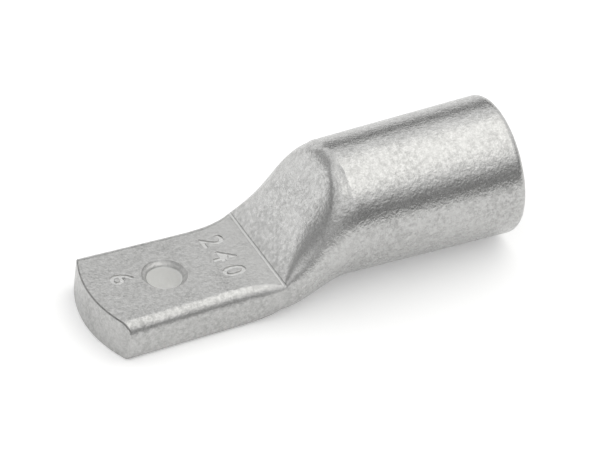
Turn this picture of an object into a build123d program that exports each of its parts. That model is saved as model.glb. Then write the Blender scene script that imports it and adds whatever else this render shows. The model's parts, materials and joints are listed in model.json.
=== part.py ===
from build123d import *
from math import atan2, cos, degrees, radians, sin, sqrt, tan
import os

# Tubular cable lug: one copper tube, left round at one end and pressed into a bolt palm at the other.
# The origin is the centre of the bolt hole on the palm's underside.
# +X runs along the barrel to its open mouth, +Y across the palm and +Z up through the bolt hole.
# All sizes are in millimetres and degrees.

# Barrel
mouth_diameter = 27.0
neck_diameter = 26.1
conductor_bore_diameter = 21.5
barrel_lift = 0.2
neck_to_mouth = 35.0
mouth_rounding_depth = 1.0
mouth_rounding_length = 1.4
rounding_fullness = 0.45
mouth_inner_chamfer = 0.5

# Palm
palm_thickness = 8.0
tip_width = 24.6
waist_width = 23.0
palm_shoulder = 2.7
palm_lower_edge = 1.3
hole_to_tip = 15.7
hole_to_waist = 9.5
waist_to_crease = 9.8
tip_arc_radius = 26.0
tip_draft_angle = 2.0
tip_spare = 2.0
face_skim = 0.02

# Bolt hole
bolt_bore_diameter = 6.6
lip_width = 1.1
lip_depth = 1.4
lip_bulge = 0.7
rim_width = 0.25
rim_depth = 0.35

# Pressed ramp between the palm and the barrel
crease_width = 25.0
crease_shoulder = 0.9
crease_lower_edge = 5.4
ramp_shoulder = 8.0
ramp_angle = 54.0
ramp_top_radius = 3.0
fold_radius = 0.35
fold_sink = 0.04
fold_overrun = 2.0

# Flattened end of the conductor bore
slit_height = 0.6
slit_width = 16.0

# How quickly the sections change along the lug, as powers of the share of the way
tip_spread_power = 1.1
crease_spread_power = 2.5
shoulder_power = 1.1

# Most that a shoulder of the ramp takes up, as a share of the height of the round sides
most_rise_share = 0.95

# Angles at which the neck's circle takes over from the top, the sides and the underside of the ramp
neck_top_angle = 8.0
neck_side_angle = 68.0
neck_low_angle = 6.0

# Half of the angle at the top of the bore's circle, and at its foot, that flattens to a face of the slit
bore_flat_angle = 60.0

# Places along the lug that follow from the sizes
mouth_radius = mouth_diameter / 2
neck_radius = neck_diameter / 2
bore_radius = conductor_bore_diameter / 2
axis_height = barrel_lift + mouth_radius
neck_top = axis_height + neck_radius
neck_low = axis_height - neck_radius
crease_x = hole_to_waist + waist_to_crease
arc_rise = ramp_top_radius * (1 - cos(radians(ramp_angle)))
arc_run = ramp_top_radius * sin(radians(ramp_angle))
line_rise = neck_top - palm_thickness - arc_rise
line_run = line_rise / tan(radians(ramp_angle))
neck_x = crease_x + line_run + arc_run
mouth_x = neck_x + neck_to_mouth
on_base = (Align.CENTER, Align.CENTER, Align.MIN)
ahead = (Align.MIN, Align.CENTER, Align.MIN)


def across(x):
    """Plane across the lug at a place along it, with its own x towards +Y and its own y up."""
    return Plane(origin=(x, 0, 0), x_dir=(0, 1, 0), z_dir=(1, 0, 0))


def blend(share, start, end):
    """Value between start and end for a share of the way from 0 to 1."""
    return start + (end - start) * share


def ease(share):
    """Share of the way that starts and ends gently."""
    return share * share * (3 - 2 * share)


def closed_face(x, top, shoulders, sides, half_width, low, lower_edge):
    """Face of a section, from its top edge on round to the right: shoulder, side, lower corner and underside."""
    side_low = low + lower_edge
    flat_low = half_width - lower_edge
    edges = [
        top,
        shoulders[0],
        sides[0],
        CenterArc((flat_low, side_low), lower_edge, 0, -90),
        Line((flat_low, low), (-flat_low, low)),
        CenterArc((-flat_low, side_low), lower_edge, -90, -90),
        sides[1],
        shoulders[1],
    ]
    return across(x) * Face(Wire(edges))


def flat_section(x, half_width, low, high, shoulder, lower_edge):
    """Section of a flat bar with round shoulders and lower corners."""
    side_low = low + lower_edge
    side_top = high - shoulder
    flat = half_width - shoulder
    top = Line((-flat, high), (flat, high))
    shoulders = [
        CenterArc((flat, side_top), shoulder, 90, -90),
        CenterArc((-flat, side_top), shoulder, 180, -90),
    ]
    sides = [
        Line((half_width, side_top), (half_width, side_low)),
        Line((-half_width, side_low), (-half_width, side_top)),
    ]
    return closed_face(x, top, shoulders, sides, half_width, low, lower_edge)


def pressed_section(x, half_width, low, high, shoulder, lower_edge):
    """Section of the ramp: the round sides of the tube, pressed flat on top, with round shoulders between."""
    side_low = low + lower_edge
    side_top = high - shoulder
    flat = sqrt((half_width - shoulder) ** 2 - (side_top - side_low) ** 2)
    lean = degrees(atan2(side_top - side_low, flat))
    top = Line((-flat, high), (flat, high))
    shoulders = [
        CenterArc((flat, side_top), shoulder, 90, lean - 90),
        CenterArc((-flat, side_top), shoulder, 180 - lean, lean - 90),
    ]
    sides = [
        CenterArc((0, side_low), half_width, lean, -lean),
        CenterArc((0, side_low), half_width, 180, -lean),
    ]
    return closed_face(x, top, shoulders, sides, half_width, low, lower_edge)


def round_section(x, radius, stops):
    """Round section in arcs, each from one stop angle to the next."""
    arcs = [CenterArc((0, axis_height), radius, a, b - a) for a, b in zip(stops, stops[1:])]
    return across(x) * Face(Wire(arcs))


def palm_section(x):
    """Section of the palm, waisted between its tip and the crease, and taller by the skim above and below."""
    to_tip = max(0, (hole_to_waist - x) / (hole_to_waist + hole_to_tip)) ** tip_spread_power
    to_crease = max(0, (x - hole_to_waist) / waist_to_crease) ** crease_spread_power
    width = waist_width + to_tip * (tip_width - waist_width) + to_crease * (crease_width - waist_width)
    shoulder = blend(to_crease, palm_shoulder, crease_shoulder)
    lower_edge = blend(to_crease, palm_lower_edge, crease_lower_edge)
    return flat_section(x, width / 2, -face_skim, palm_thickness + face_skim, shoulder, lower_edge)


def ramp_top(x):
    """Height of the lug's top line on the ramp: a straight incline, then an arc into the barrel."""
    if x < crease_x + line_run:
        return palm_thickness + (x - crease_x) * tan(radians(ramp_angle))
    return neck_top - ramp_top_radius + sqrt(ramp_top_radius**2 - (neck_x - x) ** 2)


def ramp_section(share):
    """Section of the ramp at a share of the way from the crease to the neck."""
    x = blend(share, crease_x, neck_x)
    half_width = blend(share, crease_width / 2, neck_radius)
    low = blend(ease(share), 0, neck_low)
    high = ramp_top(x)
    lower_edge = blend(ease(share), crease_lower_edge, half_width)
    swell = sin(radians(180 * share**shoulder_power))
    shoulder = blend(swell, crease_shoulder, ramp_shoulder)
    most = most_rise_share * (high - low - lower_edge)
    return pressed_section(x, half_width, low, high, min(shoulder, most), lower_edge)


# Palm form: its tip is an arc with a little draft, which leans out towards the underside
tip_centre = tip_arc_radius - hole_to_tip
tip_lean = palm_thickness * tan(radians(tip_draft_angle))
tip_low_radius = tip_arc_radius + tip_lean / 2
tip_high_radius = tip_arc_radius - tip_lean / 2
palm_form = Pos(tip_centre, 0, 0) * Cone(tip_low_radius, tip_high_radius, palm_thickness, align=on_base)
palm_form += Pos(tip_centre, 0, 0) * Box(crease_x - tip_centre, 2 * tip_width, palm_thickness, align=ahead)

# Palm, with its top and underside skimmed flat
palm_start = -hole_to_tip - tip_spare
palm_steps = 7
palm_places = [blend(step / palm_steps, palm_start, crease_x) for step in range(palm_steps + 1)]
palm = loft([palm_section(x) for x in palm_places]) & palm_form

# Ramp, on the same flat underside
ramp_steps = 6
ramp_shares = [step / ramp_steps for step in range(1, ramp_steps)]
ramp_sections = [ramp_section(share) for share in ramp_shares]
neck_right = [90 - neck_top_angle, neck_side_angle, 0, neck_low_angle - 90]
neck_left = [-180 - angle for angle in reversed(neck_right)]
neck_stops = [90 + neck_top_angle] + neck_right + neck_left
ramp = loft([palm_section(crease_x)] + ramp_sections + [round_section(neck_x, neck_radius, neck_stops)])
ramp &= Pos(crease_x, 0, 0) * Box(neck_x - crease_x, 2 * mouth_diameter, 2 * mouth_diameter, align=ahead)

# Barrel, turned about its axis with a rounded mouth
rounding_start = mouth_x - mouth_rounding_length
barrel_lines = [
    Line((neck_x, 0), (neck_x, neck_radius)),
    Line((neck_x, neck_radius), (rounding_start, mouth_radius)),
    Bezier(
        (rounding_start, mouth_radius),
        (mouth_x - mouth_rounding_length * rounding_fullness, mouth_radius),
        (mouth_x, mouth_radius - mouth_rounding_depth * rounding_fullness),
        (mouth_x, mouth_radius - mouth_rounding_depth),
    ),
    Line((mouth_x, mouth_radius - mouth_rounding_depth), (mouth_x, 0)),
    Line((mouth_x, 0), (neck_x, 0)),
]
barrel = Pos(0, 0, axis_height) * revolve(Plane.XZ * make_face(Curve() + barrel_lines), Axis.X)
lug = palm + ramp + barrel

# Fold, where the nose of the press sinks a little into the palm and the ramp
fold_lean = radians(90 - ramp_angle / 2)
fold_distance = (fold_radius - fold_sink) / sin(fold_lean)
fold_x = crease_x - fold_distance * cos(fold_lean)
fold_z = palm_thickness + fold_radius - fold_sink
fold = Plane(origin=(fold_x, 0, fold_z), z_dir=(0, 1, 0)) * Cylinder(fold_radius, crease_width + fold_overrun)
lug = lug - fold

# Conductor bore, round through the barrel and closing to a slit under the ramp
bore_base = Plane(origin=(neck_x, 0, axis_height), z_dir=(1, 0, 0))
bore = bore_base * Cylinder(bore_radius, neck_to_mouth, align=on_base)
flare_base = Plane(origin=(mouth_x - mouth_inner_chamfer, 0, axis_height), z_dir=(1, 0, 0))
bore_flare = flare_base * Cone(
    bore_radius, bore_radius + mouth_inner_chamfer, mouth_inner_chamfer, align=on_base
)
slit = across(crease_x) * Pos(0, palm_thickness / 2) * Rectangle(slit_width, slit_height)
bore_right = [90 - bore_flat_angle, bore_flat_angle - 90]
bore_left = [-180 - angle for angle in reversed(bore_right)]
bore_stops = [90 + bore_flat_angle] + bore_right + bore_left
cavity = loft([slit, round_section(neck_x, bore_radius, bore_stops)], ruled=True)
lug = lug - bore - bore_flare - cavity

# Bolt hole, with the lip that the punch rolls in
bolt_radius = bolt_bore_diameter / 2
rim_radius = bolt_radius + lip_width
rim_low_radius = rim_radius - rim_width
lip_low = palm_thickness - lip_depth
rim_low = palm_thickness - rim_depth
lip_lines = [
    Line((0, lip_low), (bolt_radius, lip_low)),
    Bezier((bolt_radius, lip_low), (bolt_radius, lip_low + lip_bulge), (rim_low_radius, rim_low)),
    Line((rim_low_radius, rim_low), (rim_radius, palm_thickness)),
    Line((rim_radius, palm_thickness), (0, palm_thickness)),
    Line((0, palm_thickness), (0, lip_low)),
]
lip = revolve(Plane.XZ * make_face(Curve() + lip_lines), Axis.Z)
bolt_hole = Cylinder(bolt_radius, palm_thickness, align=on_base)
lug = lug - bolt_hole - lip

os.makedirs("parts", exist_ok=True)
export_step(lug, "parts/cable_lug.step")
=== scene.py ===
import json
from math import cos, radians, sin

import bmesh
import bpy
from mathutils import Matrix, Vector


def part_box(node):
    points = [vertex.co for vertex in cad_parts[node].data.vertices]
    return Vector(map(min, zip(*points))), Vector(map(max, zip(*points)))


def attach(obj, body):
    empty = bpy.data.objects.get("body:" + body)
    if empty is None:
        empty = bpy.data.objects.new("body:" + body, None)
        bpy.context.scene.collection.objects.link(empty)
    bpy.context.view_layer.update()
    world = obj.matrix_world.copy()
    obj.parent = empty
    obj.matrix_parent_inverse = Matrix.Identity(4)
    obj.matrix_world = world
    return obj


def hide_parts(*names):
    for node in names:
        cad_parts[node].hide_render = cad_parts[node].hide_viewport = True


bl_info = {
    "name": "Tubular cable lug",
    "version": (1, 0, 0),
    "blender": (4, 5, 0),
    "location": "3D View > Sidebar > Cable lug",
    "description": "Dresses a pressed copper tube lug in tumbled tin plate, with stamped numbers, on a table",
    "category": "Object",
}

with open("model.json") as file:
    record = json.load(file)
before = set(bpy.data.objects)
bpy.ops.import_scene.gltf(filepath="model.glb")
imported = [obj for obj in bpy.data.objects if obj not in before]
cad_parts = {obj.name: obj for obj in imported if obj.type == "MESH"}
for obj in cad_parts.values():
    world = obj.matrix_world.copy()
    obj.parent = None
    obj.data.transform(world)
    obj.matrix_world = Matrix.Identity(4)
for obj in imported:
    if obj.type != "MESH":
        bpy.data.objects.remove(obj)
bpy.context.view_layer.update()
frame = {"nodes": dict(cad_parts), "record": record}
LUG_NODE = "cable_lug"
LUG_LOW, LUG_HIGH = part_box(LUG_NODE)
MOUNTS = {mount["name"]: mount for mount in frame["record"]["mounts"]}
BOLT_RADIUS = MOUNTS["bolt_hole"]["dims"]["r_mm"] / 1000
PALM_HEIGHT = MOUNTS["palm_top"]["pos_m"][2]

# The ramp starts at the crease and the edges of the tip lie beyond TIP_EDGE. The numbers stand between them,
# on the flat of the palm's top and clear of the lip round the bolt hole.
CREASE = 0.0193
CREASE_GAP = 0.001
TIP_EDGE = 0.8 * LUG_LOW.x
LIP_RADIUS = BOLT_RADIUS + 0.0012
FLAT_HALF_WIDTH = 0.0085

# How near points are when they count as one, and how near the top of the palm a point is when it lies on it
SAME_POINT = 1e-7
SAME_STROKE_POINT = 1e-6
ON_TOP = 1e-6

# Faces by the height of their normal: a stroke's side is under STEEP, the palm's top over LEVEL and a darker
# face of the tip's edge over UPWARD. Faces smaller than TINY_AREA don't count, and the palm's top turns less
# than FLAT_ANGLE.
STEEP = 0.1
LEVEL = 0.9
UPWARD = 0.2
TINY_AREA = 1e-12
FLAT_ANGLE = radians(1)

# Mesh attribute that marks the upward faces of the tip's rounded edge, which are coloured darker
DARKER_TIP_FACES = "darker"

# Sockets of a mix node that hold its two colours and the mixed one
MIX_INPUTS = (6, 7)
MIX_OUTPUT = 2

# Detail and roughness of each noise in the plate
PATCH_NOISE = (3.0, 0.6)
CLOUD_NOISE = (2.0, 0.5)
SPECK_NOISE = (2.0, 0.6)
GRAIN_NOISE = (3.0, 0.55)
SWELL_NOISE = (2.0, 0.5)

# Size of the clouds, as a share of the patches, sizes of the specks and the swells, as shares of the grain,
# and height of the swells, as a share of the grain's
CLOUD_SHARE = 6.0
SPECK_SHARE = 0.7
SWELL_SHARE = 2.6
SWELL_HEIGHT = 0.8

# From here on, a range is where a change starts, where it ends, and the value at its start and at its end.
# These are the wear that each noise gives, by the noise's own value, and the share of the darker colour on
# the tip's edge that the patches leave.
PATCHES = (0.38, 0.62, 0.0, 0.55)
SPECKS = (0.40, 0.62, 0.0, 0.45)
CLOUDS = (0.35, 0.65, 0.6, 1.0)
DARKER_EDGE_PATCHES = (0.3, 0.6, 1.0, 0.6)

# Marks in the plate, by the distance in metres along the lug, over the top of the palm, from the crease,
# from the middle of the painted shade line beside it or from the bolt's axis. They hold a painted highlight
# along the crease, the painted shade line beside it and painted light on the wall of the bolt hole
LIGHTER_ALONG = (0.009, 0.018, 0.0, 0.6)
LIGHTER_OVER_PALM = (-0.0006, -0.0001, 0.0, 1.0)
# Painted highlight along the crease, and the painted shade line beside it
CREASE_HIGHLIGHT = (0.00014, 0.00028, 0.8, 0.0)
CREASE_SHADE = (0.00004, 0.00014, 0.55, 0.0)
CREASE_SHADE_PLACE = 0.0004
CREASE_SHADE_OVER_PALM = 0.00008
STROKE_FLOOR = (-0.00017, -0.00009, 0.7, 0.0)
STROKE_LOWEST = -0.0005
# Painted light on the wall of the bolt hole, and its metallic
BORE_LIGHT = (BOLT_RADIUS * 1.01, BOLT_RADIUS * 1.06, 1.0, 0.0)
BORE_LIGHT_METALLIC = (0.0, 1.0, 1.0, 0.45)

# Roughness: what the patches change, what the palm adds, and the least that the lip, the painted highlight
# along the crease and the wall of the bolt hole, with its painted light, have
ROUGH_PATCHES = (0.3, 0.7)
ROUGH_CHANGES = (-0.06, 0.08)
SATIN_PALM = (CREASE, CREASE + 0.006, 0.10, 0.0)
SATIN_LIP = (LIP_RADIUS * 0.96, LIP_RADIUS, 0.46, 0.0)
CREASE_HIGHLIGHT_ROUGHNESS = 0.5
BORE_LIGHT_ROUGHNESS = 0.8

# Dim parts of the room low in front and low at the back, by the depth, height and width of a direction
# from the lug
FRONT_DEPTH = (0.2, -0.5, 0.0, 1.0)
FRONT_HEIGHT = (0.30, 0.62, 0.84, 0.0)
FRONT_WIDTH = (-0.35, 0.25, 0.62, 1.0)
BACK_DEPTH = (0.55, 0.80, 0.0, 1.0)
BACK_MIDDLE = 0.36
BACK_HEIGHT = (0.05, 0.22, 1.0, 0.0)
BACK_WIDTH = (0.0, 0.25, 0.0, 1.0)

# Other parts of the room: the direction from the lug, where each starts and is full, and its share of light
ROOM_PARTS = {
    "dim_left": ((-0.78, 0.02, 0.62), 0.80, 0.95, 0.46),
    "pale_back_left": ((-0.68, 0.69, 0.23), 0.80, 0.95, 1.27),
    "dim_gap": ((-0.50, 0.69, 0.52), 0.93, 0.985, 0.42),
    "pale_high_back": ((0.37, 0.62, 0.70), 0.92, 0.99, 1.12),
}


class CableLugFinish(bpy.types.PropertyGroup):
    """Colours and sizes of the tin plate."""

    tin_colour: bpy.props.FloatVectorProperty(
        name="Tin", description="Colour of the clean tin plate", subtype="COLOR", default=(0.54, 0.539, 0.531)
    )
    worn_colour: bpy.props.FloatVectorProperty(
        name="Worn tin", description="Colour of the duller patches left by tumbling", subtype="COLOR",
        default=(0.345, 0.344, 0.338),
    )
    # This pale colour is a painted highlight along the crease, and the paler floors of the numbers
    highlight_and_pale_floor_colour: bpy.props.FloatVectorProperty(
        name="Painted highlight and pale floors", description="Colour of the line in the crease and of the numbers' floors",
        subtype="COLOR", default=(0.70, 0.70, 0.69),
    )
    # This dark colour is on the upward faces of the tip's edge, and is also the painted shade line beside the
    # crease's highlight
    dark_edge_and_shade_colour: bpy.props.FloatVectorProperty(
        name="Dark edge and painted shade", description="Colour of the rubbed edge of the tip and of the line by the crease",
        subtype="COLOR", default=(0.17, 0.17, 0.165),
    )
    # This pale colour of the bolt hole's wall is painted light
    bore_light_colour: bpy.props.FloatVectorProperty(
        name="Painted light in the bolt hole", description="Colour of the dry wall inside the bolt hole", subtype="COLOR",
        default=(0.87, 0.87, 0.86),
    )
    roughness: bpy.props.FloatProperty(
        name="Roughness", description="How satin the plate is", default=0.24, min=0.05, max=1.0
    )
    patch_size: bpy.props.FloatProperty(
        name="Patch size", description="Width of the mottled patches", default=0.0009, unit="LENGTH"
    )
    grain_size: bpy.props.FloatProperty(
        name="Grain size", description="Width of the fine dents from tumbling", default=0.0005, unit="LENGTH"
    )
    grain_depth: bpy.props.FloatProperty(
        name="Grain depth", description="Depth of the fine dents", default=0.00007, unit="LENGTH"
    )
    sharp_angle: bpy.props.FloatProperty(
        name="Sharp angle", description="Edges sharper than this stay crisp", default=radians(28),
        subtype="ANGLE",
    )


class CableLugStamps(bpy.types.PropertyGroup):
    """Sizes of the plain numbers stamped in the palm."""

    depth: bpy.props.FloatProperty(
        name="Depth", description="Depth of the stamped numbers", default=0.00024, unit="LENGTH"
    )
    height: bpy.props.FloatProperty(
        name="Height", description="Height of the stamped numbers", default=0.0064, unit="LENGTH"
    )
    thickening: bpy.props.FloatProperty(
        name="Thickening", description="How far each stroke is widened", default=0.00010, unit="LENGTH"
    )
    spread: bpy.props.FloatProperty(
        name="Spread", description="Spacing of the numbers, as a share of the plain spacing", default=1.5
    )
    curve_steps: bpy.props.IntProperty(
        name="Curve steps", description="Steps in each curve of a stroke", default=3, min=1
    )
    conductor_place: bpy.props.FloatVectorProperty(
        name="Conductor size", description="Middle of the conductor's size, before the crease",
        subtype="TRANSLATION", size=2, default=(0.0124, 0.0008),
    )
    bolt_place: bpy.props.FloatVectorProperty(
        name="Bolt size", description="Middle of the bolt's size, near the tip",
        subtype="TRANSLATION", size=2, default=(-0.0083, 0.0020),
    )


class CableLugWear(bpy.types.PropertyGroup):
    """Wear of the palm's edges."""

    rim_round: bpy.props.FloatProperty(
        name="Rim rounding", description="Width of the worn rims of the stamped numbers", default=0.0001,
        unit="LENGTH",
    )
    edge_round: bpy.props.FloatProperty(
        name="Edge rounding", description="Width of the worn edges of the tip", default=0.00025, unit="LENGTH"
    )
    round_steps: bpy.props.IntProperty(
        name="Rounding steps", description="Steps in each worn edge and rim", default=3, min=1
    )


class CableLugStudio(bpy.types.PropertyGroup):
    """The table, the lights and the camera."""

    table_colour: bpy.props.FloatVectorProperty(
        name="Table", description="Colour of the table", subtype="COLOR", default=(0.9, 0.9, 0.9)
    )
    table_glow: bpy.props.FloatProperty(
        name="Table glow", description="Light that the table gives off by itself, as a light table does",
        default=0.25,
    )
    table_roughness: bpy.props.FloatProperty(
        name="Table roughness", description="How matt the table is", default=0.7, min=0.0, max=1.0
    )
    table_size: bpy.props.FloatProperty(
        name="Table size", description="Width of the table", default=6.0, unit="LENGTH"
    )
    room_light: bpy.props.FloatProperty(
        name="Room light", description="Strength of the soft light from all round", default=1.08
    )
    softbox_towards: bpy.props.FloatVectorProperty(
        name="Softbox direction", description="Direction of the softbox from the lug", subtype="DIRECTION",
        default=(0.36, -0.12, 0.92),
    )
    softbox_distance: bpy.props.FloatProperty(
        name="Softbox distance", description="Distance of the softbox from the lug", default=0.9,
        unit="LENGTH",
    )
    softbox_size: bpy.props.FloatVectorProperty(
        name="Softbox size", description="Length and width of the softbox", size=2, default=(1.15, 0.6),
        unit="LENGTH",
    )
    softbox_power: bpy.props.FloatProperty(
        name="Softbox power", description="Power of the softbox", default=1.46, unit="POWER"
    )
    softbox_colour: bpy.props.FloatVectorProperty(
        name="Softbox colour", description="Colour of the softbox's light", subtype="COLOR",
        default=(1.0, 0.99, 0.94),
    )
    azimuth: bpy.props.FloatProperty(
        name="Camera azimuth", description="Turn of the camera about the lug", default=radians(28.228),
        subtype="ANGLE",
    )
    elevation: bpy.props.FloatProperty(
        name="Camera elevation", description="Height of the camera above the table", default=radians(38.039),
        subtype="ANGLE",
    )
    roll: bpy.props.FloatProperty(
        name="Camera roll", description="Lean of the camera", default=radians(3.313), subtype="ANGLE"
    )
    distance: bpy.props.FloatProperty(
        name="Camera distance", description="Distance of the camera", default=2.0, unit="LENGTH"
    )
    aim_across: bpy.props.FloatProperty(
        name="Aim across", description="Aim of the camera to the right of the bolt hole", default=0.025844,
        unit="LENGTH",
    )
    aim_up: bpy.props.FloatProperty(
        name="Aim up", description="Aim of the camera above the bolt hole", default=0.015545, unit="LENGTH"
    )
    frame_width: bpy.props.FloatProperty(
        name="Frame width", description="Width that the camera sees at the lug", default=0.6 / 5.305,
        unit="LENGTH",
    )
    sensor_width: bpy.props.FloatProperty(
        name="Sensor width", description="Width of the camera's sensor, in millimetres", default=36.0
    )
    clip_end: bpy.props.FloatProperty(
        name="Clip end", description="Furthest that the camera sees", default=20.0, unit="LENGTH"
    )


def new_node(tree, kind, **inputs):
    """New node of a kind, with values set by input name."""
    node = tree.nodes.new(kind)
    for name, value in inputs.items():
        node.inputs[name.replace("_", " ")].default_value = value
    return node


def maths(tree, operation, first, second=0.0):
    """Output of a maths node on one or two values, each a number or another node's output."""
    node = tree.nodes.new("ShaderNodeMath")
    node.operation = operation
    for socket, value in zip(node.inputs, (first, second)):
        if isinstance(value, float):
            socket.default_value = value
        else:
            tree.links.new(value, socket)
    return node.outputs["Value"]


def product(tree, first, *others):
    """Output of values multiplied together."""
    for other in others:
        first = maths(tree, "MULTIPLY", first, other)
    return first


def hypotenuse(tree, first, second):
    """Output of the distance across two outputs that stand at right angles."""
    squares = maths(tree, "ADD", product(tree, first, first), product(tree, second, second))
    return maths(tree, "SQRT", squares)


def ranged(tree, value, start, end, low, high, soft=False):
    """Output that goes from low to high as another node's output goes from start to end."""
    node = new_node(tree, "ShaderNodeMapRange", From_Min=start, From_Max=end, To_Min=low, To_Max=high)
    if soft:
        node.interpolation_type = "SMOOTHSTEP"
    tree.links.new(value, node.inputs["Value"])
    return node.outputs["Result"]


def noise(tree, place, size, detail, roughness):
    """Output of a noise whose blotches have a size in metres."""
    node = new_node(tree, "ShaderNodeTexNoise", Scale=1 / size, Detail=detail, Roughness=roughness)
    tree.links.new(place, node.inputs["Vector"])
    return node.outputs["Fac"]


def blended(tree, factor, first, second):
    """Output of a colour that goes from the first to the second, each a colour or another node's output."""
    node = tree.nodes.new("ShaderNodeMix")
    node.data_type = "RGBA"
    tree.links.new(factor, node.inputs["Factor"])
    for place, value in zip(MIX_INPUTS, (first, second)):
        if isinstance(value, bpy.types.NodeSocket):
            tree.links.new(value, node.inputs[place])
        else:
            node.inputs[place].default_value = (*value, 1)
    return node.outputs[MIX_OUTPUT]


def split_in_axes(tree, vector):
    """Outputs of a vector's x, y and z."""
    split = tree.nodes.new("ShaderNodeSeparateXYZ")
    tree.links.new(vector, split.inputs["Vector"])
    return split.outputs["X"], split.outputs["Y"], split.outputs["Z"]


def new_material(name):
    """New material of a name, and its shader."""
    material = bpy.data.materials.new(name)
    material.use_nodes = True
    return material, material.node_tree.nodes["Principled BSDF"]


def mottled_wear(tree, place, patches, along, over_palm, finish):
    """Output of the wear from tumbling, less on the top of the palm towards the crease, which is left lighter
    there.
    """
    clouds = noise(tree, place, finish.patch_size * CLOUD_SHARE, *CLOUD_NOISE)
    specks = noise(tree, place, finish.grain_size * SPECK_SHARE, *SPECK_NOISE)
    worn = maths(tree, "ADD", ranged(tree, patches, *PATCHES), ranged(tree, specks, *SPECKS))
    lighter_by_crease = product(
        tree,
        ranged(tree, along, *LIGHTER_ALONG, soft=True),
        ranged(tree, over_palm, *LIGHTER_OVER_PALM),
        maths(tree, "LESS_THAN", along, CREASE),
    )
    return product(tree, worn, ranged(tree, clouds, *CLOUDS), maths(tree, "SUBTRACT", 1.0, lighter_by_crease))


def darker_tip_edge(tree, patches):
    """Output of the darker colour on the upward faces of the tip's rounded edge, uneven by the patches."""
    edge = tree.nodes.new("ShaderNodeAttribute")
    edge.attribute_name = DARKER_TIP_FACES
    return product(tree, edge.outputs["Fac"], ranged(tree, patches, *DARKER_EDGE_PATCHES))


def crease_shade_line(tree, from_crease, over_palm):
    """Output of the painted shade: a thin dark line beside the painted highlight along the crease, on the
    ramp's side.
    """
    from_line = maths(tree, "ABSOLUTE", maths(tree, "SUBTRACT", from_crease, CREASE_SHADE_PLACE))
    on_ramp = maths(tree, "GREATER_THAN", over_palm, CREASE_SHADE_OVER_PALM)
    return product(tree, ranged(tree, from_line, *CREASE_SHADE, soft=True), on_ramp)


def number_floors(tree, along, across, over_palm, from_bolt):
    """Output of the floors of the stamped numbers, which are coloured paler than the plate."""
    return product(
        tree,
        ranged(tree, over_palm, *STROKE_FLOOR),
        maths(tree, "GREATER_THAN", over_palm, STROKE_LOWEST),
        maths(tree, "GREATER_THAN", from_bolt, LIP_RADIUS),
        maths(tree, "GREATER_THAN", along, TIP_EDGE),
        maths(tree, "LESS_THAN", along, CREASE - CREASE_GAP),
        maths(tree, "LESS_THAN", maths(tree, "ABSOLUTE", across), FLAT_HALF_WIDTH),
    )


def plate_roughness(tree, patches, along, from_bolt, crease_highlight, bore_light, finish):
    """Output of the roughness: uneven by the patches, more on the palm and lip, and most on the wall of the
    bolt hole, where light is painted.
    """
    low, high = (finish.roughness + change for change in ROUGH_CHANGES)
    rough = ranged(tree, patches, *ROUGH_PATCHES, low, high)
    rough = maths(tree, "ADD", rough, ranged(tree, along, *SATIN_PALM, soft=True))
    for least in (
        ranged(tree, from_bolt, *SATIN_LIP, soft=True),
        product(tree, crease_highlight, CREASE_HIGHLIGHT_ROUGHNESS),
        product(tree, bore_light, BORE_LIGHT_ROUGHNESS),
    ):
        rough = maths(tree, "MAXIMUM", rough, least)
    return rough


def dents(tree, place, finish):
    """Output of the surface's lean in the fine dents from tumbling and the wider swells under them."""
    grain = noise(tree, place, finish.grain_size, *GRAIN_NOISE)
    swells = noise(tree, place, finish.grain_size * SWELL_SHARE, *SWELL_NOISE)
    bump = new_node(tree, "ShaderNodeBump", Strength=1.0, Distance=finish.grain_depth)
    tree.links.new(maths(tree, "ADD", grain, product(tree, swells, SWELL_HEIGHT)), bump.inputs["Height"])
    return bump.outputs["Normal"]


def tin_plate(finish):
    """Material of the tumbled tin plate, with the marks of the press, a painted highlight and a painted shade
    line along the crease, and painted light on the wall of the bolt hole.
    """
    material, shader = new_material("tinned_copper")
    tree = material.node_tree
    join = tree.links.new
    place = tree.nodes.new("ShaderNodeTexCoord").outputs["Object"]
    along, across, height = split_in_axes(tree, place)
    over_palm = maths(tree, "SUBTRACT", height, PALM_HEIGHT)
    from_bolt = hypotenuse(tree, along, across)
    from_crease = hypotenuse(tree, maths(tree, "SUBTRACT", along, CREASE), over_palm)
    patches = noise(tree, place, finish.patch_size, *PATCH_NOISE)
    # Painted highlight: a pale line along the crease
    crease_highlight = ranged(tree, from_crease, *CREASE_HIGHLIGHT, soft=True)
    # Painted light: a pale wall in the bolt hole
    bore_light = ranged(tree, from_bolt, *BORE_LIGHT, soft=True)

    colour = finish.tin_colour
    for share, mark in (
        (mottled_wear(tree, place, patches, along, over_palm, finish), finish.worn_colour),
        (darker_tip_edge(tree, patches), finish.dark_edge_and_shade_colour),
        # The crease's painted highlight and the painted shade line beside it
        (crease_highlight, finish.highlight_and_pale_floor_colour),
        (crease_shade_line(tree, from_crease, over_palm), finish.dark_edge_and_shade_colour),
        (number_floors(tree, along, across, over_palm, from_bolt), finish.highlight_and_pale_floor_colour),
        (bore_light, finish.bore_light_colour),
    ):
        colour = blended(tree, share, colour, mark)
    join(colour, shader.inputs["Base Color"])
    rough = plate_roughness(tree, patches, along, from_bolt, crease_highlight, bore_light, finish)
    join(rough, shader.inputs["Roughness"])
    join(ranged(tree, bore_light, *BORE_LIGHT_METALLIC), shader.inputs["Metallic"])
    join(dents(tree, place, finish), shader.inputs["Normal"])
    return material


def new_object(name, data):
    """New object of a name with its data, in the scene's collection."""
    made = bpy.data.objects.new(name, data)
    bpy.context.scene.collection.objects.link(made)
    return made


def new_piece(name, shape):
    """New object of a name with a bmesh as its mesh."""
    mesh = bpy.data.meshes.new(name)
    shape.to_mesh(mesh)
    shape.free()
    return new_object(name, mesh)


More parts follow.
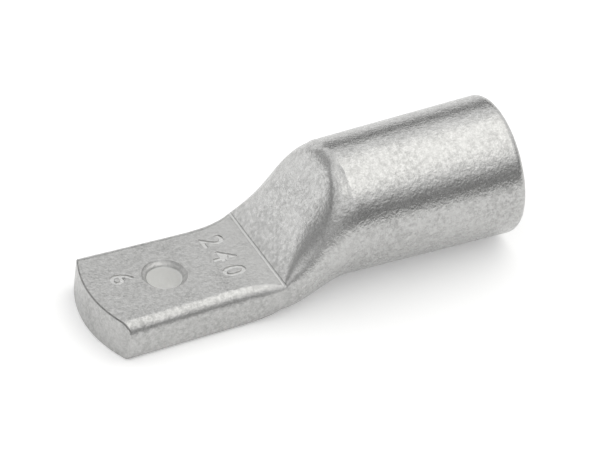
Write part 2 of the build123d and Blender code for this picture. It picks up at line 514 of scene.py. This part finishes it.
def shade(piece):
    """Shades a piece smooth between its sharp edges, with flat faces kept flat."""
    sharp_angle = bpy.context.scene.cable_lug_finish.sharp_angle
    shape = bmesh.new()
    shape.from_mesh(piece.data)
    for face in shape.faces:
        face.smooth = True
    for edge in shape.edges:
        edge.smooth = len(edge.link_faces) == 2 and edge.calc_face_angle(0.0) < sharp_angle
    shape.to_mesh(piece.data)
    shape.free()
    if not piece.modifiers:
        weighted = piece.modifiers.new("flat_faces", "WEIGHTED_NORMAL")
        weighted.mode = "FACE_AREA"
        weighted.weight = 100
        weighted.keep_sharp = True


class CABLELUG_OT_tube(bpy.types.Operator):
    """Makes the lug: the pressed tube in tumbled tin plate."""

    bl_idname = "cable_lug.tube"
    bl_label = "Pressed tube"

    def execute(self, context):
        shape = bmesh.new()
        shape.from_mesh(frame["nodes"][LUG_NODE].data)
        bmesh.ops.remove_doubles(shape, verts=shape.verts, dist=SAME_POINT)
        piece = new_piece("tinned_lug", shape)
        piece.data.materials.append(tin_plate(context.scene.cable_lug_finish))
        shade(piece)
        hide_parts(LUG_NODE)
        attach(piece, "root")
        return {"FINISHED"}


class CABLELUG_OT_numbers(bpy.types.Operator):
    """Stamps plain numbers in the palm: the conductor's size by the crease and the bolt's size by the tip."""

    bl_idname = "cable_lug.numbers"
    bl_label = "Stamped numbers"

    def execute(self, context):
        stamps = context.scene.cable_lug_stamps
        punches = bmesh.new()
        for number, place in (("240", stamps.conductor_place), ("6", stamps.bolt_place)):
            self.add_punch(punches, number, place, stamps)
        punch = new_piece("punches", punches)

        piece = bpy.data.objects["tinned_lug"]
        piece.modifiers.clear()
        cut = piece.modifiers.new("stamp", "BOOLEAN")
        cut.object = punch
        cut.operation = "DIFFERENCE"
        cut.solver = "EXACT"
        cut.use_self = True
        plain = piece.data
        stamped = bpy.data.meshes.new_from_object(piece.evaluated_get(context.evaluated_depsgraph_get()))
        if len(stamped.vertices) <= len(plain.vertices):
            raise RuntimeError("The numbers weren't stamped")
        piece.modifiers.clear()
        piece.data = stamped
        bpy.data.meshes.remove(plain)
        stamped.name = "tinned_lug"
        bpy.data.objects.remove(punch)
        shade(piece)
        return {"FINISHED"}

    def add_punch(self, punches, number, place, stamps):
        """Adds a number's punch over the palm, read from the tip."""
        text = bpy.data.curves.new("number_" + number, "FONT")
        text.body = number
        text.size = stamps.height
        text.align_x = text.align_y = "CENTER"
        text.space_character = stamps.spread
        text.extrude = stamps.depth
        text.resolution_u = stamps.curve_steps
        text.offset = stamps.thickening
        writing = bpy.data.objects.new(text.name, text)
        mesh = bpy.data.meshes.new_from_object(writing)
        mesh.transform(Matrix.Translation((*place, PALM_HEIGHT)) @ Matrix.Rotation(radians(-90), 4, "Z"))
        bpy.data.objects.remove(writing)
        punches.from_mesh(mesh)
        bmesh.ops.remove_doubles(punches, verts=punches.verts, dist=SAME_STROKE_POINT)
        bmesh.ops.recalc_face_normals(punches, faces=punches.faces)


class CABLELUG_OT_wear(bpy.types.Operator):
    """Wears round the edges of the palm's tip and the rims of the stamped numbers."""

    bl_idname = "cable_lug.wear"
    bl_label = "Worn edges"

    def execute(self, context):
        wear = context.scene.cable_lug_wear
        sharp_angle = context.scene.cable_lug_finish.sharp_angle
        piece = bpy.data.objects["tinned_lug"]
        shape = bmesh.new()
        shape.from_mesh(piece.data)
        self.merge_top(shape)
        rims = [edge for edge in shape.edges if self.on_rim(edge)]
        self.round_edges(shape, "numbers", rims, wear.rim_round, wear.round_steps)
        darker = shape.faces.layers.float.new(DARKER_TIP_FACES)
        tip = [edge for edge in shape.edges if self.on_tip(edge, sharp_angle)]
        # The upward faces of the tip's rounded edge are marked for the darker colour
        for face in self.round_edges(shape, "tip", tip, wear.edge_round, wear.round_steps):
            if face.normal.z > UPWARD and face.calc_center_median().z > PALM_HEIGHT / 2:
                face[darker] = 1.0
        shape.to_mesh(piece.data)
        shape.free()
        shade(piece)
        return {"FINISHED"}

    def merge_top(self, shape):
        """Merges the faces of the palm's flat top, so that their edges don't meet the rims of the strokes."""
        bmesh.ops.dissolve_degenerate(shape, edges=shape.edges, dist=SAME_POINT)
        top = [point for point in shape.verts if self.on_top(point)]
        across = [edge for edge in shape.edges if all(self.on_top(point) for point in edge.verts)]
        bmesh.ops.dissolve_limit(shape, angle_limit=FLAT_ANGLE, verts=top, edges=across)

    def round_edges(self, shape, part, edges, width, steps):
        """Rounds the edges of a part by a width in steps, and gives the new faces."""
        if not edges:
            raise RuntimeError("No edges to round on the " + part)
        return bmesh.ops.bevel(
            shape, geom=edges, offset=width, affect="EDGES", segments=steps, profile=0.5, material=-1,
            clamp_overlap=False,
        )["faces"]

    def on_top(self, point):
        """Whether a point lies on the flat top of the palm."""
        return abs(point.co.z - PALM_HEIGHT) < ON_TOP

    def on_tip(self, edge, sharp_angle):
        """Whether an edge is a sharp one round the end face of the palm."""
        if len(edge.link_faces) != 2 or edge.calc_face_angle(0.0) < sharp_angle:
            return False
        return all(point.co.x < TIP_EDGE for point in edge.verts)

    def on_rim(self, edge):
        """Whether an edge is one round a stamped number, between the palm's top and the side of a stroke."""
        slopes = sorted(abs(face.normal.z) for face in edge.link_faces if face.calc_area() > TINY_AREA)
        if len(slopes) != 2 or slopes[0] > STEEP or slopes[1] < LEVEL:
            return False
        return all(
            self.on_top(point) and TIP_EDGE <= point.co.x <= CREASE - CREASE_GAP
            and point.co.xy.length > LIP_RADIUS
            for point in edge.verts
        )


class CABLELUG_OT_stage(bpy.types.Operator):
    """Makes the table, the studio lights and the camera."""

    bl_idname = "cable_lug.stage"
    bl_label = "Studio"

    def execute(self, context):
        studio = context.scene.cable_lug_studio
        self.table(studio)
        self.room(context, studio)
        self.softbox(studio)
        self.camera(context, studio)
        context.scene.view_settings.view_transform = "Standard"
        return {"FINISHED"}

    def table(self, studio):
        """Plain pale table under the lug."""
        shape = bmesh.new()
        bmesh.ops.create_grid(shape, x_segments=1, y_segments=1, size=studio.table_size / 2)
        bmesh.ops.translate(shape, verts=shape.verts, vec=(0, 0, LUG_LOW.z))
        top = new_piece("table", shape)
        material, shader = new_material("table_white")
        shader.inputs["Base Color"].default_value = (*studio.table_colour, 1)
        shader.inputs["Roughness"].default_value = studio.table_roughness
        shader.inputs["Emission Color"].default_value = (*studio.table_colour, 1)
        shader.inputs["Emission Strength"].default_value = studio.table_glow
        top.data.materials.append(material)

    def room(self, context, studio):
        """Soft light from all round, with dim and pale parts."""
        world = bpy.data.worlds.new("studio_room")
        context.scene.world = world
        world.use_nodes = True
        tree = world.node_tree
        background = tree.nodes["Background"]
        where = tree.nodes.new("ShaderNodeTexCoord").outputs["Generated"]
        width, depth, height = split_in_axes(tree, where)

        dim_front = product(
            tree,
            ranged(tree, depth, *FRONT_DEPTH, soft=True),
            ranged(tree, height, *FRONT_HEIGHT, soft=True),
            ranged(tree, width, *FRONT_WIDTH, soft=True),
        )
        from_middle = maths(tree, "ABSOLUTE", maths(tree, "SUBTRACT", height, BACK_MIDDLE))
        dim_back = product(
            tree,
            ranged(tree, depth, *BACK_DEPTH, soft=True),
            ranged(tree, from_middle, *BACK_HEIGHT, soft=True),
            ranged(tree, width, *BACK_WIDTH, soft=True),
        )
        light = maths(tree, "SUBTRACT", maths(tree, "SUBTRACT", studio.room_light, dim_front), dim_back)
        for name, (towards, start, full, share) in ROOM_PARTS.items():
            aim = tree.nodes.new("ShaderNodeVectorMath")
            aim.name = name
            aim.operation = "DOT_PRODUCT"
            aim.inputs[1].default_value = Vector(towards).normalized()
            tree.links.new(where, aim.inputs[0])
            lobe = ranged(tree, aim.outputs["Value"], start, full, 1.0, share, soft=True)
            light = product(tree, light, lobe)
        tree.links.new(light, background.inputs["Strength"])
        background.inputs["Color"].default_value = (1, 1, 1, 1)

    def softbox(self, studio):
        """Rectangular light over the lug, turned to face it."""
        data = bpy.data.lights.new("overhead_softbox", "AREA")
        data.shape = "RECTANGLE"
        data.size, data.size_y = studio.softbox_size
        data.energy = studio.softbox_power
        data.color = studio.softbox_colour
        towards = Vector(studio.softbox_towards).normalized()
        place = Matrix.Translation((LUG_LOW + LUG_HIGH) / 2 + towards * studio.softbox_distance)
        light = new_object("overhead_softbox", data)
        light.matrix_world = place @ towards.to_track_quat("Z", "Y").to_matrix().to_4x4()

    def camera(self, context, studio):
        """Camera at the photo's viewing angle."""
        turn, rise, roll = studio.azimuth, studio.elevation, studio.roll
        back = Vector((-sin(turn) * cos(rise), -cos(turn) * cos(rise), sin(rise)))
        right = Vector((cos(turn), -sin(turn), 0))
        up = back.cross(right)
        rolled_right = cos(roll) * right + sin(roll) * up
        rolled_up = -sin(roll) * right + cos(roll) * up
        place = studio.aim_across * rolled_right + studio.aim_up * rolled_up + studio.distance * back
        data = bpy.data.cameras.new("photo_camera")
        data.sensor_width = studio.sensor_width
        data.lens = studio.sensor_width * studio.distance / studio.frame_width
        data.clip_end = studio.clip_end
        camera = new_object("photo_camera", data)
        turned = Matrix((rolled_right, rolled_up, back)).transposed().to_4x4()
        camera.matrix_world = Matrix.Translation(place) @ turned
        context.scene.camera = camera


class CABLELUG_PT_panel(bpy.types.Panel):
    """Sidebar panel with the lug's pieces and its studio."""

    bl_label = "Cable lug"
    bl_idname = "CABLELUG_PT_panel"
    bl_space_type = "VIEW_3D"
    bl_region_type = "UI"
    bl_category = "Cable lug"

    def draw(self, context):
        scene = context.scene
        for title, group, operator in (
            ("Tin plate", scene.cable_lug_finish, CABLELUG_OT_tube.bl_idname),
            ("Stamped numbers", scene.cable_lug_stamps, CABLELUG_OT_numbers.bl_idname),
            ("Worn edges", scene.cable_lug_wear, CABLELUG_OT_wear.bl_idname),
            ("Studio", scene.cable_lug_studio, CABLELUG_OT_stage.bl_idname),
        ):
            box = self.layout.box()
            box.label(text=title)
            for name in group.__annotations__:
                box.prop(group, name)
            box.operator(operator)


GROUPS = {
    "cable_lug_finish": CableLugFinish,
    "cable_lug_stamps": CableLugStamps,
    "cable_lug_wear": CableLugWear,
    "cable_lug_studio": CableLugStudio,
}
OPERATORS = (CABLELUG_OT_tube, CABLELUG_OT_numbers, CABLELUG_OT_wear, CABLELUG_OT_stage)


def register():
    """Registers the settings, the operators and the panel."""
    for group in GROUPS.values():
        bpy.utils.register_class(group)
    for name, group in GROUPS.items():
        setattr(bpy.types.Scene, name, bpy.props.PointerProperty(type=group))
    for operator in OPERATORS:
        bpy.utils.register_class(operator)
    bpy.utils.register_class(CABLELUG_PT_panel)


def unregister():
    """Takes back what register does, in the other order."""
    bpy.utils.unregister_class(CABLELUG_PT_panel)
    for operator in reversed(OPERATORS):
        bpy.utils.unregister_class(operator)
    for name in GROUPS:
        delattr(bpy.types.Scene, name)
    for group in reversed(list(GROUPS.values())):
        bpy.utils.unregister_class(group)


def main():
    """Makes the lug and its studio."""
    register()
    bpy.ops.cable_lug.tube()
    bpy.ops.cable_lug.numbers()
    bpy.ops.cable_lug.wear()
    bpy.ops.cable_lug.stage()


if __name__ == "__main__":
    main()
